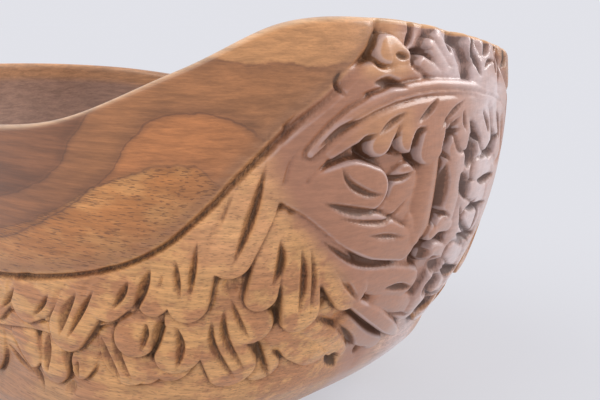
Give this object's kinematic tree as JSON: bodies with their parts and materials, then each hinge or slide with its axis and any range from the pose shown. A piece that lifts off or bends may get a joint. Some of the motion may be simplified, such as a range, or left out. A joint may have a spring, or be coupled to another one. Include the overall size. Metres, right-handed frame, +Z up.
{
  "type": "carved wooden bowl",
  "caption": "Boat-shaped wooden bowl with one high end carved as a leaf mask, tiers of carved leaves and smooth side panels.",
  "frame": {"origin": "middle of the flat foot's underside, on the surface that the bowl stands on", "axes": "+Z up, +X towards the high end with the leaf mask, -Y towards the near side of the bowl"},
  "size_m": [0.4, 0.2572, 0.1912],
  "materials": {
    "carved_wood": "satin lacquer over hand-carved hardwood, with golden sapwood streaks and dark stain in the cuts"
  },
  "bodies": {
    "root": {"carved_bowl": "carved_wood"}
  },
  "joints": []
}
